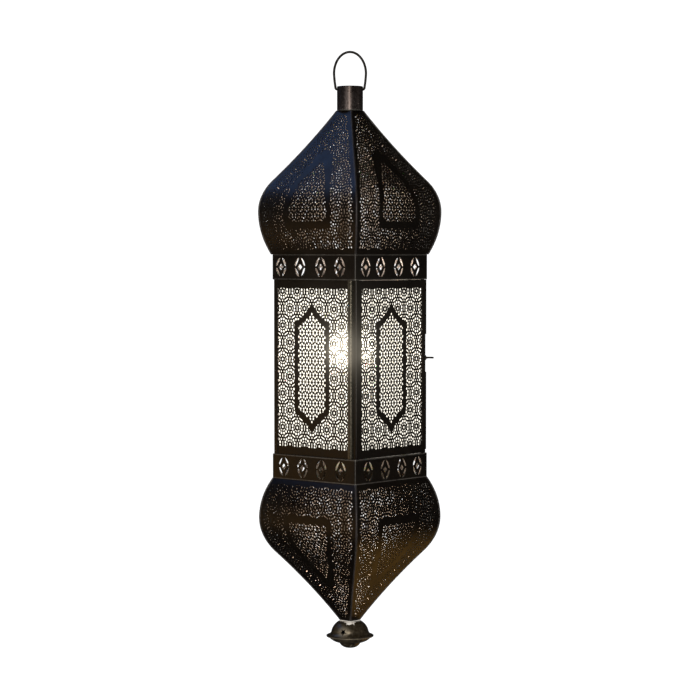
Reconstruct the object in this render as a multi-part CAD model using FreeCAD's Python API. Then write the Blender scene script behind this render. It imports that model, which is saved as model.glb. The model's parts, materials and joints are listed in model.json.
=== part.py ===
import FreeCAD, Part
import math
import os

# A hanging, four-sided pierced-metal candle lantern. Millimetres, +Z up.
# The origin is the inner top of the hanging ring, the point that rests on a hook.
# The lantern's axis is the Z axis. Its door is the front face, -Y. The ring's plane, and
# the hinge it hangs by, lie along the diagonal through the -X,+Y and +X,-Y corners.

# ---- driving dimensions ----
RING_WIRE = 2.4  # diameter of the ring's wire
RING_HALF_WIDTH = 16.0  # of the loop, to the middle of its wire
RING_HALF_HEIGHT = 21.5
RING_BEND = 1.7  # middle radius where the wire turns into the collar
PIVOT_Z = -36.0  # height of the ring's two pivot holes
PIVOT_REACH = 9.5  # the wire's ends stop this far from the axis

COLLAR_RADIUS = 13.0
COLLAR_WALL = 1.2
COLLAR_TOP = -33.0
NECK_TOP = -56.5
NECK_PLATE = 1.0

SHEET = 0.8  # thickness of every pierced sheet, post and band
FRAME_PLATE = 1.0  # thickness of the square rings that join the tiers
BAND_HALF = 55.5  # half the width of the bands, outside
BAND_CORNER = 2.0
RING_OPENING = 46.0  # half the clear opening of the square rings
UPPER_BAND_TOP = -200.7
BODY_TOP = -225.8
BODY_BOTTOM = -400.7
LOWER_BAND_BOTTOM = -425.1

BODY_HALF = 54.0  # half the width of the mid tier, outside
POST_LEG = 4.5  # width of the corner posts' legs
FLANK_Y = -48.4  # outer face of the hinge post's flank, the back of the hinge's hollow
FLANK_DEPTH = 8.0
FOLD_RADIUS = 1.6  # outer radius of the folds beside the hinge
CLEARANCE = 0.3  # between pieces that move past each other
RUNNING = 0.06  # radial clearance of a pin in its hole

GLASS = 2.0  # pane thickness
CLIP = 0.6  # thickness of the spring tabs that hold the panes
CLIP_WIDTH = 8.0
CLIP_AT = 30.0  # from a pane's middle to each tab's middle
CLIP_TONGUE = 11.0
DOOR_CLIP_TONGUE = 7.0
PANE_HALF = 48.5
PANE_GAP = 2.0  # above the fixed panes, so that they can be lifted out

HINGE_AT = -50.9  # X and Y of the door's hinge rod
HINGE_ROD_RADIUS = 0.9
KNUCKLE_RADIUS = 1.7
KNUCKLE_LENGTH = 15.0
KNUCKLE_SPREAD = 74.0  # from the middle knuckle to each of the others
DOOR_RAIL = 7.7  # width of the door's border at its top and bottom
WINDOW_LEFT = -44.5
WINDOW_RIGHT = 49.2
DOOR_SHEET_LEFT = -48.5
DOOR_SHEET_RIGHT = 53.5
DOOR_PANE_LEFT = -45.2
DOOR_PANE_RIGHT = 49.1
DOOR_PANE_MARGIN = 4.7  # from the body's top and bottom
LIP_DEPTH = 4.5  # of the fold along the door's free edge
LIP_BOTTOM = -397.0
LIP_CUT = 0.3  # the cut-outs in the free edge reach this far in from the body's side
LIP_NOTCH_TOP = -281.0
LIP_NOTCH_BOTTOM = -319.0
LATCH_Z = -305.0

STAPLE_Y = -51.0
STAPLE_REACH = 58.0  # X of the staple's upright pin
STAPLE_WIRE = 1.2
STAPLE_HALF_GAP = 2.0  # from the staple's middle to each leg's middle
STAPLE_BEND = 0.8
HOOK_WIRE = 1.8
HOOK_ARM = 4.8
HOOK_TIP = 5.8
HOOK_EYE_RADIUS = 1.7
HOOK_EYE_HEIGHT = 2.1
HOOK_BEND = 1.5

CANDLE_RADIUS = 25.0
CANDLE_HEIGHT = 110.0
DISH_RADIUS = 34.0
DISH_RIM = 7.0
POOL_DEPTH = 2.5
WICK_RADIUS = 0.8
WICK_LENGTH = 10.0
PRICKET_RADIUS = 1.6
PRICKET_SHANK = 13.0
PRICKET_POINT = 5.0
PLATE_HALF = 53.5
PLATE_CORNER = 33.0  # half the width of the plate's arms, between its open corners

TIP_Z = -569.5  # where the lower dome ends
TIP_PLATE_HALF = 7.6
BRIM_Z = -585.1
BRIM_RADIUS = 23.9
FINIAL_BOTTOM = -597.7
FINIAL_WALL = 1.0
BOLT_RADIUS = 2.0
NUT_RADIUS = 4.2  # across its corners
NUT_HEIGHT = 3.2
STAR_RADIUS = 3.8
STAR_Z = -579.6
STAR_AZIMUTHS = (79.0, 199.0, 319.0)  # from +X

Z = FreeCAD.Vector(0, 0, 1)
CENTRE = FreeCAD.Vector(0, 0, 0)
SIDES = {"front": 0, "right": 90, "back": 180, "left": 270}
SKIN_IN = BODY_HALF - 2 * SHEET  # inner face of the pierced side sheets
SKIN_OUT = BODY_HALF - SHEET
PANE_IN = SKIN_IN - GLASS
POST_FACE = SKIN_IN - CLEARANCE  # outer face of the legs behind the door
DIAGONAL_DEG = -45.0
UPPER_BAND_BOTTOM = BODY_TOP + FRAME_PLATE
LOWER_BAND_TOP = BODY_BOTTOM - FRAME_PLATE
PLATE_TOP = LOWER_BAND_BOTTOM + 2 * FRAME_PLATE
DISH_FLOOR = PLATE_TOP + FRAME_PLATE
DOOR_TOP = BODY_TOP - CLEARANCE
DOOR_BOTTOM = BODY_BOTTOM + CLEARANCE
DOOR_LEFT = HINGE_AT - KNUCKLE_RADIUS
CANDLE_BASE = DISH_FLOOR + CLEARANCE
CANDLE_TOP = CANDLE_BASE + CANDLE_HEIGHT
POOL_Z = CANDLE_TOP - POOL_DEPTH
CAP_TOP = TIP_Z - FRAME_PLATE


# ---- helpers ----
def vec(x, y, z):
    return FreeCAD.Vector(x, y, z)


def box(x0, x1, y0, y1, z0, z1):
    return Part.makeBox(x1 - x0, y1 - y0, z1 - z0, vec(x0, y0, z0))


def turned(shape, degrees):
    copy = shape.copy()
    copy.rotate(CENTRE, Z, degrees)
    return copy


def prism(points, z0, z1):
    outline = Part.makePolygon([vec(x, y, z0) for x, y in points + points[:1]])
    return Part.Face(outline).extrude(vec(0, 0, z1 - z0))


def cylinder(radius, z0, z1, x=0.0, y=0.0):
    return Part.makeCylinder(radius, z1 - z0, vec(x, y, z0))


def rounded_square(half, corner, z0, z1):
    block = box(-half, half, -half, half, z0, z1)
    uprights = [e for e in block.Edges if abs(e.tangentAt(0).z) > 0.5]
    return block.makeFillet(corner, uprights)


def rounded_upright(shape, x, y):
    """Rounds the upright edge that stands at x, y."""
    edges = []
    for edge in shape.Edges:
        middle = edge.CenterOfMass
        upright = abs(edge.tangentAt(edge.FirstParameter).z) > 0.5
        if upright and math.hypot(middle.x - x, middle.y - y) < 0.01:
            edges.append(edge)
    return shape.makeFillet(FOLD_RADIUS, edges)


def square_ring(half, opening, z0, z1):
    """A flat square plate with rounded corners and a square opening."""
    outside = rounded_square(half, BAND_CORNER, z0, z1)
    return outside.cut(box(-opening, opening, -opening, opening, z0 - 1, z1 + 1))


def arc_edge(first, middle, last):
    return Part.Arc(first, middle, last).toShape()


def bent_wire(points, bend, radius):
    """Round wire along straight runs joined by equal bends."""
    edges = []
    here = points[0]
    for corner, after in zip(points[1:-1], points[2:]):
        into = (corner - here).normalize()
        out = (after - corner).normalize()
        turn = into.getAngle(out)
        back = bend * math.tan(turn / 2)
        inward = (out - into).normalize()
        start = corner - into * back
        end = corner + out * back
        edges.append(Part.makeLine(here, start))
        edges.append(arc_edge(start, corner + inward * bend * (1 / math.cos(turn / 2) - 1), end))
        here = end
    edges.append(Part.makeLine(here, points[-1]))
    section = Part.Wire(Part.makeCircle(radius, points[0], points[1] - points[0]))
    return Part.Wire(edges).makePipeShell([section], True, True)


def revolved(points):
    """A turned shape from its outline, given as (radius, z) corners."""
    outline = Part.makePolygon([vec(r, 0, z) for r, z in points + points[:1]])
    return Part.Face(outline).revolve(CENTRE, Z, 360)


def save(name, shape):
    solids = shape.Solids
    if len(solids) == 1:
        shape = solids[0]
    else:
        shape = Part.makeCompound(solids)
    if not shape.isValid():
        raise ValueError(name + " isn't valid")
    shape.exportStep("parts/" + name + ".step")
    print(f"{name:28s} solids {len(solids):2d}  volume {shape.Volume:10.1f}")


# ---- the ring and the collar it swings in ----
def hanging_ring():
    """An egg-shaped loop of wire whose two ends turn in through the collar's sides."""
    loop_z = RING_WIRE / 2 - RING_HALF_HEIGHT
    turn_z = PIVOT_Z + RING_BEND
    reach = COLLAR_RADIUS + CLEARANCE + RING_WIRE / 2
    shoulder_z = loop_z - RING_HALF_HEIGHT / 2
    shoulder = RING_HALF_WIDTH * math.sqrt(1 - 0.25)
    edges = []
    for side in (1, -1):
        pin_end = vec(side * PIVOT_REACH, 0, PIVOT_Z)
        pin_start = vec(side * (reach - RING_BEND), 0, PIVOT_Z)
        bend_mid = vec(
            side * (reach - RING_BEND * (1 - math.sin(math.pi / 4))),
            0,
            PIVOT_Z + RING_BEND * (1 - math.cos(math.pi / 4)),
        )
        bend_end = vec(side * reach, 0, turn_z)
        edges.append(Part.makeLine(pin_end, pin_start))
        edges.append(arc_edge(pin_start, bend_mid, bend_end))
        widest = vec(side * RING_HALF_WIDTH, 0, loop_z)
        low = vec(side * max(shoulder, reach + 0.5), 0, shoulder_z)
        edges.append(arc_edge(bend_end, low, widest))
    top = vec(0, 0, loop_z + RING_HALF_HEIGHT)
    across = vec(RING_HALF_WIDTH, 0, 0)
    oval = Part.Ellipse(top, across + vec(0, 0, loop_z), vec(0, 0, loop_z))
    edges.append(upper_half(oval))
    path = Part.Wire(Part.__sortEdges__(edges))
    start = vec(PIVOT_REACH, 0, PIVOT_Z)
    section = Part.Wire(Part.makeCircle(RING_WIRE / 2, start, vec(1, 0, 0)))
    return turned(path.makePipeShell([section], True, True), DIAGONAL_DEG)


def upper_half(oval):
    """The half of an upright ellipse that lies above its middle."""
    halves = []
    for start in (-math.pi / 2, math.pi / 2):
        halves.append(oval.toShape(start, start + math.pi))
    return max(halves, key=lambda edge: edge.CenterOfMass.z)


def neck_collar():
    """A spun cup, closed at its top, with the two holes that the ring turns in."""
    outside = cylinder(COLLAR_RADIUS, NECK_TOP, COLLAR_TOP)
    rim = [e for e in outside.Edges if abs(e.CenterOfMass.z - COLLAR_TOP) < 0.01]
    outside = outside.makeFillet(0.8, rim)
    inside = cylinder(COLLAR_RADIUS - COLLAR_WALL, NECK_TOP - 1, COLLAR_TOP - COLLAR_WALL)
    hole = Part.makeCylinder(
        RING_WIRE / 2 + RUNNING, 4 * COLLAR_RADIUS, vec(-2 * COLLAR_RADIUS, 0, PIVOT_Z), vec(1, 0, 0)
    )
    return outside.cut(inside).cut(turned(hole, DIAGONAL_DEG))


def neck_plate():
    return cylinder(COLLAR_RADIUS, NECK_TOP - NECK_PLATE, NECK_TOP)


# ---- the two domes ----
class Dome:
    """The outline of one dome's side, three tangent arcs: base, shoulder and concave flare.

    up is 1 for the upper dome, whose flare rises to the neck, and -1 for the lower one."""

    def __init__(self, belly, belly_z, base_z, end_z, base_r, shoulder_r, shoulder_deg, flare_r, up):
        self.belly = belly
        self.belly_z = belly_z
        self.base_z = base_z
        self.end_z = end_z
        self.base_r = base_r
        self.shoulder_r = shoulder_r
        self.angle = math.radians(shoulder_deg)
        self.flare_r = flare_r
        self.up = up

    def point(self, centre, radius, angle):
        """A point of the outline on the front side's middle plane."""
        half = centre[0] + radius * math.cos(angle)
        return vec(0, -half, centre[1] + self.up * radius * math.sin(angle))

    def edges(self, offset):
        """The outline moved outwards by offset, from its base to its end."""
        base_r = self.base_r + offset
        shoulder_r = self.shoulder_r + offset
        flare_r = self.flare_r - offset
        base_centre = (self.belly - self.base_r, self.belly_z)
        shoulder_centre = (self.belly - self.shoulder_r, self.belly_z)
        reach = self.shoulder_r + self.flare_r
        flare_centre = (
            shoulder_centre[0] + reach * math.cos(self.angle),
            self.belly_z + self.up * reach * math.sin(self.angle),
        )
        base_angle = -math.asin(abs(self.base_z - self.belly_z) / base_r)
        end_sine = self.up * (flare_centre[1] - self.end_z) / flare_r
        end_angle = math.pi + math.asin(end_sine)
        flare_angle = math.pi + self.angle
        arcs = (
            (base_centre, base_r, base_angle, 0.0),
            (shoulder_centre, shoulder_r, 0.0, self.angle),
            (flare_centre, flare_r, flare_angle, end_angle),
        )
        made = []
        for centre, radius, start, stop in arcs:
            ends = [self.point(centre, radius, a) for a in (start, (start + stop) / 2, stop)]
            made.append(arc_edge(*ends))
        return made

    def layer(self, inner, outer, reach):
        """The sheet between two offsets of the outline, drawn out sideways by reach each way."""
        inside = Part.Wire(self.edges(inner))
        outside = Part.Wire(self.edges(outer))
        ends = []
        for index in (0, -1):
            here = inside.OrderedVertexes[index].Point
            there = outside.OrderedVertexes[index].Point
            ends.append(Part.makeLine(here, there))
        outline = Part.Wire(Part.__sortEdges__(inside.Edges + outside.Edges + ends))
        sheet = Part.Face(outline).extrude(vec(2 * reach, 0, 0))
        sheet.translate(vec(-reach, 0, 0))
        return sheet

    def side(self):
        """The front side, mitred on the diagonals where it meets its neighbours."""
        reach = self.belly + 5
        low = min(self.base_z, self.end_z) - 1
        high = max(self.base_z, self.end_z) + 1
        wedge = prism([(0, 0), (reach, -reach), (-reach, -reach)], low, high)
        return self.layer(-SHEET, 0, reach).common(wedge)

    def seam(self):
        """The soldered strip over the arris at the front right corner."""
        reach = self.belly + 5
        low = min(self.base_z, self.end_z) - 1
        high = max(self.base_z, self.end_z) + 1
        wide = 1.6
        strip = prism([(0, 0), (reach, -reach), (reach - wide, -reach), (-wide, 0)], low, high)
        half = self.layer(0, 0.5, reach).common(strip)
        other = half.mirror(CENTRE, vec(1, 1, 0))
        return half.fuse(other).removeSplitter()


UPPER_DOME = Dome(64.9, -158.0, UPPER_BAND_TOP, NECK_TOP - NECK_PLATE, 105.0, 52.0, 36.6, 640.0, 1)
LOWER_DOME = Dome(64.6, -465.0, LOWER_BAND_BOTTOM, TIP_Z, 87.0, 57.0, 37.5, 560.0, -1)


def save_dome(name, dome):
    side = dome.side()
    seam = dome.seam()
    corners = {"front_right": 0, "back_right": 90, "back_left": 180, "front_left": 270}
    for where, degrees in SIDES.items():
        save(f"{name}_{where}", turned(side, degrees))
    for where, degrees in corners.items():
        save(f"{name}_seam_{where}", turned(seam, degrees))


# ---- the bands and the square rings that join the tiers ----
def band(z0, z1):
    outside = rounded_square(BAND_HALF, BAND_CORNER, z0, z1)
    inside = rounded_square(BAND_HALF - SHEET, BAND_CORNER - SHEET, z0 - 1, z1 + 1)
    return outside.cut(inside)


# ---- the mid tier ----
def corner_post():
    """An angle over the back right corner, outside the sheets."""
    near = BODY_HALF - POST_LEG
    across = box(near, BODY_HALF, SKIN_OUT, BODY_HALF, BODY_BOTTOM, BODY_TOP)
    along = box(SKIN_OUT, BODY_HALF, near, BODY_HALF, BODY_BOTTOM, BODY_TOP)
    return across.fuse(along).removeSplitter()


def latch_post():
    """The front right angle. Its front leg stands behind the closed door."""
    near = BODY_HALF - POST_LEG
    front = box(near, BODY_HALF, -POST_FACE, -POST_FACE + SHEET, BODY_BOTTOM, BODY_TOP)
    flank = box(SKIN_OUT, BODY_HALF, -POST_FACE, -POST_FACE + POST_LEG, BODY_BOTTOM, BODY_TOP)
    holes = [staple_hole(side) for side in (1, -1)]
    return front.fuse(flank).removeSplitter().cut(Part.makeCompound(holes))


def hinge_post():
    """A folded strip at the front left corner. The hinge rod stands in its hollow."""
    inner = -BODY_HALF + FLANK_DEPTH
    leg = box(-BODY_HALF, -SKIN_OUT, FLANK_Y, FLANK_Y + POST_LEG, BODY_BOTTOM, BODY_TOP)
    flank = box(-BODY_HALF, inner, FLANK_Y, FLANK_Y + SHEET, BODY_BOTTOM, BODY_TOP)
    front = box(inner - SHEET, inner, -POST_FACE, FLANK_Y + SHEET, BODY_BOTTOM, BODY_TOP)
    return rounded_upright(leg.fuse([flank, front]).removeSplitter(), -BODY_HALF, FLANK_Y)


def side_sheet(start, stop):
    """A pierced side sheet, drawn as the front one. start and stop are its two edges."""
    return box(start, stop, -SKIN_OUT, -SKIN_IN, BODY_BOTTOM, BODY_TOP)


def pane(start, stop, bottom, top):
    return box(start, stop, -SKIN_IN, -PANE_IN, bottom, top)


def pane_clips():
    """Spring tabs on the two square rings that hold the three fixed panes."""
    clips = []
    for degrees in (90, 180, 270):
        for x in (-CLIP_AT, CLIP_AT):
            left = x - CLIP_WIDTH / 2
            right = x + CLIP_WIDTH / 2
            for edge, inward in ((BODY_TOP, -1), (BODY_BOTTOM, 1)):
                foot = sorted((edge, edge + inward * CLIP))
                tongue = sorted((edge, edge + inward * CLIP_TONGUE))
                base = box(left, right, -PANE_IN, -RING_OPENING - 0.5, *foot)
                spring = box(left, right, -PANE_IN, -PANE_IN + CLIP, *tongue)
                clips.append(turned(base.fuse(spring).removeSplitter(), degrees))
    return Part.makeCompound(clips)


def hinge_rod():
    return cylinder(HINGE_ROD_RADIUS, BODY_BOTTOM, BODY_TOP, HINGE_AT, HINGE_AT)


# ---- the door ----
def door_frame():
    """One folded sheet: the border, the return on the hinge side with its rolled knuckles,
    and the lip on the free edge, which is cut away around the latch and at its foot."""
    free_edge = BODY_HALF + CLEARANCE + SHEET
    front = box(DOOR_LEFT, free_edge, -BODY_HALF, -SKIN_OUT, DOOR_BOTTOM, DOOR_TOP)
    window = box(
        WINDOW_LEFT, WINDOW_RIGHT, -BODY_HALF - 1, 0, DOOR_BOTTOM + DOOR_RAIL, DOOR_TOP - DOOR_RAIL
    )
    returned = box(DOOR_LEFT, DOOR_LEFT + SHEET, -BODY_HALF, HINGE_AT, DOOR_BOTTOM, DOOR_TOP)
    lip = box(free_edge - SHEET, free_edge, -BODY_HALF, -BODY_HALF + LIP_DEPTH, DOOR_BOTTOM, DOOR_TOP)
    frame = front.cut(window).fuse([returned, lip]).removeSplitter()
    frame = rounded_upright(frame, DOOR_LEFT, -BODY_HALF)
    for low, high in ((LIP_NOTCH_BOTTOM, LIP_NOTCH_TOP), (DOOR_BOTTOM - 1, LIP_BOTTOM)):
        frame = frame.cut(box(BODY_HALF - LIP_CUT, free_edge + 1, -BODY_HALF - 1, 0, low, high))
    middle = (BODY_TOP + BODY_BOTTOM) / 2
    for centre in (middle + KNUCKLE_SPREAD, middle, middle - KNUCKLE_SPREAD):
        low = centre - KNUCKLE_LENGTH / 2
        high = centre + KNUCKLE_LENGTH / 2
        bore = cylinder(HINGE_ROD_RADIUS + RUNNING, low - 1, high + 1, HINGE_AT, HINGE_AT)
        frame = frame.fuse(cylinder(KNUCKLE_RADIUS, low, high, HINGE_AT, HINGE_AT)).cut(bore)
    return frame.removeSplitter()


def door_sheet():
    return box(DOOR_SHEET_LEFT, DOOR_SHEET_RIGHT, -SKIN_OUT, -SKIN_IN, DOOR_BOTTOM, DOOR_TOP)


def door_pane():
    bottom = BODY_BOTTOM + DOOR_PANE_MARGIN
    top = BODY_TOP - DOOR_PANE_MARGIN
    return pane(DOOR_PANE_LEFT, DOOR_PANE_RIGHT, bottom, top)


def door_pane_clips():
    """Spring tabs on the door's sheet that hold its pane."""
    clips = []
    for x in (-CLIP_AT, CLIP_AT):
        left = x - CLIP_WIDTH / 2
        right = x + CLIP_WIDTH / 2
        for edge, inward in ((BODY_TOP - DOOR_PANE_MARGIN, -1), (BODY_BOTTOM + DOOR_PANE_MARGIN, 1)):
            foot = sorted((edge, edge - inward * CLIP))
            tongue = sorted((edge - inward * CLIP, edge + inward * DOOR_CLIP_TONGUE))
            base = box(left, right, -SKIN_IN, -PANE_IN, *foot)
            spring = box(left, right, -PANE_IN, -PANE_IN + CLIP, *tongue)
            clips.append(base.fuse(spring).removeSplitter())
    return Part.makeCompound(clips)


# ---- the latch ----
def staple_hole(side):
    """One of the two holes in the latch post for the staple's legs."""
    start = vec(SKIN_OUT - 1, STAPLE_Y, LATCH_Z + side * STAPLE_HALF_GAP)
    return Part.makeCylinder(STAPLE_WIRE / 2, SHEET + 2, start, vec(1, 0, 0))


def latch_staple():
    """A wire staple through the latch post. The hook turns on its upright."""
    route = []
    for x, side in ((SKIN_OUT, 1), (STAPLE_REACH, 1), (STAPLE_REACH, -1), (SKIN_OUT, -1)):
        route.append(vec(x, STAPLE_Y, LATCH_Z + side * STAPLE_HALF_GAP))
    return bent_wire(route, STAPLE_BEND, STAPLE_WIRE / 2)


def latch_hook():
    """A bent hook, shown swung out. Turned in, its tip lies across the door's free edge."""
    elbow_x = STAPLE_REACH + HOOK_ARM
    route = [
        vec(STAPLE_REACH + HOOK_EYE_RADIUS / 2, STAPLE_Y, LATCH_Z),
        vec(elbow_x, STAPLE_Y, LATCH_Z),
        vec(elbow_x, STAPLE_Y - HOOK_TIP, LATCH_Z),
    ]
    half = HOOK_EYE_HEIGHT / 2
    eye = cylinder(HOOK_EYE_RADIUS, LATCH_Z - half, LATCH_Z + half, STAPLE_REACH, STAPLE_Y)
    hook = eye.fuse(bent_wire(route, HOOK_BEND, HOOK_WIRE / 2))
    hole = cylinder(STAPLE_WIRE / 2 + RUNNING, LATCH_Z - 2, LATCH_Z + 2, STAPLE_REACH, STAPLE_Y)
    return hook.cut(hole)


# ---- the candle and what holds it ----
def candle_plate():
    """A cross-shaped plate on the base ring. Its open corners let air up to the candle."""
    bottom = PLATE_TOP - FRAME_PLATE
    across = box(-PLATE_HALF, PLATE_HALF, -PLATE_CORNER, PLATE_CORNER, bottom, PLATE_TOP)
    along = box(-PLATE_CORNER, PLATE_CORNER, -PLATE_HALF, PLATE_HALF, bottom, PLATE_TOP)
    return across.fuse(along).removeSplitter()


def drip_dish():
    rim = PLATE_TOP + DISH_RIM
    flat = DISH_RADIUS - 3
    return revolved(
        [
            (0, PLATE_TOP),
            (flat, PLATE_TOP),
            (DISH_RADIUS, rim),
            (DISH_RADIUS - 1, rim),
            (flat - 1, DISH_FLOOR),
            (0, DISH_FLOOR),
        ]
    )


def pricket():
    """The spike that the candle is pushed onto."""
    shank = DISH_FLOOR + PRICKET_SHANK
    point = shank + PRICKET_POINT
    return revolved([(0, DISH_FLOOR), (PRICKET_RADIUS, DISH_FLOOR), (PRICKET_RADIUS, shank), (0, point)])


def candle():
    bore = PRICKET_RADIUS + RUNNING
    bore_top = DISH_FLOOR + PRICKET_SHANK + PRICKET_POINT + 2
    return revolved(
        [
            (bore, CANDLE_BASE),
            (CANDLE_RADIUS - 0.8, CANDLE_BASE),
            (CANDLE_RADIUS, CANDLE_BASE + 0.8),
            (CANDLE_RADIUS, CANDLE_TOP - 1.5),
            (CANDLE_RADIUS - 1.5, CANDLE_TOP),
            (CANDLE_RADIUS - 4.0, CANDLE_TOP - 0.5),
            (CANDLE_RADIUS - 8.0, POOL_Z),
            (0, POOL_Z),
            (0, bore_top),
            (bore, bore_top),
        ]
    )


def candle_wick():
    return cylinder(WICK_RADIUS, POOL_Z, POOL_Z + WICK_LENGTH)


# ---- the finial ----
def tip_plate():
    half = TIP_PLATE_HALF
    plate = box(-half, half, -half, half, CAP_TOP, TIP_Z)
    return plate.cut(cylinder(BOLT_RADIUS + RUNNING, CAP_TOP - 1, TIP_Z + 1))


def bell_edges(offset):
    """The bell's outline from its crown to its brim, moved inwards by offset."""
    crown = vec(11.0 - 0.6 * offset, 0, CAP_TOP - offset)
    shoulder = vec(15.8 - 0.9 * offset, 0, CAP_TOP - 4.0 - 0.6 * offset)
    waist = vec(18.5 - offset, 0, CAP_TOP - 9.0)
    flare = vec(20.0 - 0.8 * offset, 0, CAP_TOP - 12.5 - 0.6 * offset)
    brim = vec(BRIM_RADIUS - 0.2 * offset, 0, BRIM_Z - offset)
    return [arc_edge(crown, shoulder, waist), arc_edge(waist, flare, brim)]


def star(radius):
    """A five-pointed star, point down, as an upright face."""
    corners = []
    for index in range(10):
        reach = radius if index % 2 == 0 else 0.42 * radius
        angle = index * math.pi / 5 - math.pi / 2
        corners.append(vec(0, reach * math.cos(angle), reach * math.sin(angle)))
    return Part.Face(Part.makePolygon(corners + corners[:1]))


def finial_cap():
    """The bell under the lower dome, with three star cut-outs around it."""
    outer = bell_edges(0.0)
    inner = bell_edges(FINIAL_WALL)
    brim = Part.makeLine(outer[-1].lastVertex().Point, inner[-1].lastVertex().Point)
    hole = BOLT_RADIUS + RUNNING
    crown = Part.makePolygon(
        [
            outer[0].firstVertex().Point,
            vec(hole, 0, CAP_TOP),
            vec(hole, 0, CAP_TOP - FINIAL_WALL),
            inner[0].firstVertex().Point,
        ]
    )
    outline = Part.Wire(Part.__sortEdges__(outer + inner + [brim] + crown.Edges))
    bell = Part.Face(outline).revolve(CENTRE, Z, 360)
    for azimuth in STAR_AZIMUTHS:
        cutter = star(STAR_RADIUS).extrude(vec(40, 0, 0))
        cutter.translate(vec(5, 0, STAR_Z))
        bell = bell.cut(turned(cutter, azimuth))
    return bell


def cup_edges(offset):
    """The cup's outline from its rim over the saucer and the boss to the axis, raised by offset."""
    top = BRIM_Z - FINIAL_WALL
    rim = vec(22.0 - 1.2 * offset, 0, top)
    step = vec(11.0 - 0.6 * offset, 0, top - 6.0 + offset)
    foot = vec(3.0, 0, FINIAL_BOTTOM + offset)
    saucer = arc_edge(rim, vec(17.8 - 0.6 * offset, 0, top - 3.8 + offset), step)
    boss = arc_edge(step, vec(8.2 - 0.6 * offset, 0, top - 9.6 + offset), foot)
    return [saucer, boss, Part.makeLine(foot, vec(0, 0, FINIAL_BOTTOM + offset))]


def finial_cup():
    """The saucer with a boss that closes the bell from below."""
    outer = cup_edges(0.0)
    inner = cup_edges(FINIAL_WALL)
    rim = Part.makeLine(outer[0].firstVertex().Point, inner[0].firstVertex().Point)
    axis = Part.makeLine(outer[-1].lastVertex().Point, inner[-1].lastVertex().Point)
    outline = Part.Wire(Part.__sortEdges__(outer + inner + [rim, axis]))
    return Part.Face(outline).revolve(CENTRE, Z, 360)


def finial_bolt():
    return cylinder(BOLT_RADIUS, FINIAL_BOTTOM + FINIAL_WALL, TIP_Z + NUT_HEIGHT + 2)


def finial_nut():
    corners = []
    for index in range(6):
        angle = index * math.pi / 3
        corners.append((NUT_RADIUS * math.cos(angle), NUT_RADIUS * math.sin(angle)))
    hexagon = prism(corners, TIP_Z, TIP_Z + NUT_HEIGHT)
    return hexagon.cut(cylinder(BOLT_RADIUS + RUNNING, TIP_Z - 1, TIP_Z + NUT_HEIGHT + 1))


def main():
    os.makedirs("parts", exist_ok=True)
    save("hanging_ring", hanging_ring())
    save("neck_collar", neck_collar())
    save("neck_plate", neck_plate())
    save_dome("upper_dome", UPPER_DOME)
    save_dome("lower_dome", LOWER_DOME)

    save("crown_ring", square_ring(BAND_HALF, RING_OPENING, UPPER_BAND_TOP - FRAME_PLATE, UPPER_BAND_TOP))
    save("upper_band", band(UPPER_BAND_BOTTOM, UPPER_BAND_TOP - FRAME_PLATE))
    save("body_top_ring", square_ring(BAND_HALF, RING_OPENING, BODY_TOP, UPPER_BAND_BOTTOM))
    save("body_bottom_ring", square_ring(BAND_HALF, RING_OPENING, LOWER_BAND_TOP, BODY_BOTTOM))
    base_top = LOWER_BAND_BOTTOM + FRAME_PLATE
    save("lower_band", band(base_top, LOWER_BAND_TOP))
    save("base_ring", square_ring(BAND_HALF, RING_OPENING, LOWER_BAND_BOTTOM, base_top))

    save("post_back_right", corner_post())
    save("post_back_left", turned(corner_post(), 90))
    save("post_latch", latch_post())
    save("post_hinge", hinge_post())
    flank_in = -FLANK_Y - SHEET
    pane_top = BODY_TOP - PANE_GAP
    save("side_sheet_right", turned(side_sheet(-POST_FACE + SHEET, SKIN_IN), 90))
    save("side_sheet_back", turned(side_sheet(-SKIN_OUT, SKIN_OUT), 180))
    save("side_sheet_left", turned(side_sheet(-SKIN_IN, flank_in), 270))
    save("pane_right", turned(pane(-PANE_HALF, PANE_HALF, BODY_BOTTOM, pane_top), 90))
    save("pane_back", turned(pane(-PANE_HALF, PANE_HALF, BODY_BOTTOM, pane_top), 180))
    save("pane_left", turned(pane(-PANE_HALF, flank_in - CLEARANCE, BODY_BOTTOM, pane_top), 270))
    save("pane_clips", pane_clips())
    save("hinge_rod", hinge_rod())

    save("door_frame", door_frame())
    save("door_sheet", door_sheet())
    save("door_pane", door_pane())
    save("door_pane_clips", door_pane_clips())
    save("latch_staple", latch_staple())
    save("latch_hook", latch_hook())

    save("candle_plate", candle_plate())
    save("drip_dish", drip_dish())
    save("pricket", pricket())
    save("candle", candle())
    save("candle_wick", candle_wick())

    save("tip_plate", tip_plate())
    save("finial_cap", finial_cap())
    save("finial_cup", finial_cup())
    save("finial_bolt", finial_bolt())
    save("finial_nut", finial_nut())


main()
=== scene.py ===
import json
import math

import bpy
import numpy as np
from mathutils import Matrix, Vector, noise
from mathutils.geometry import delaunay_2d_cdt


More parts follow.
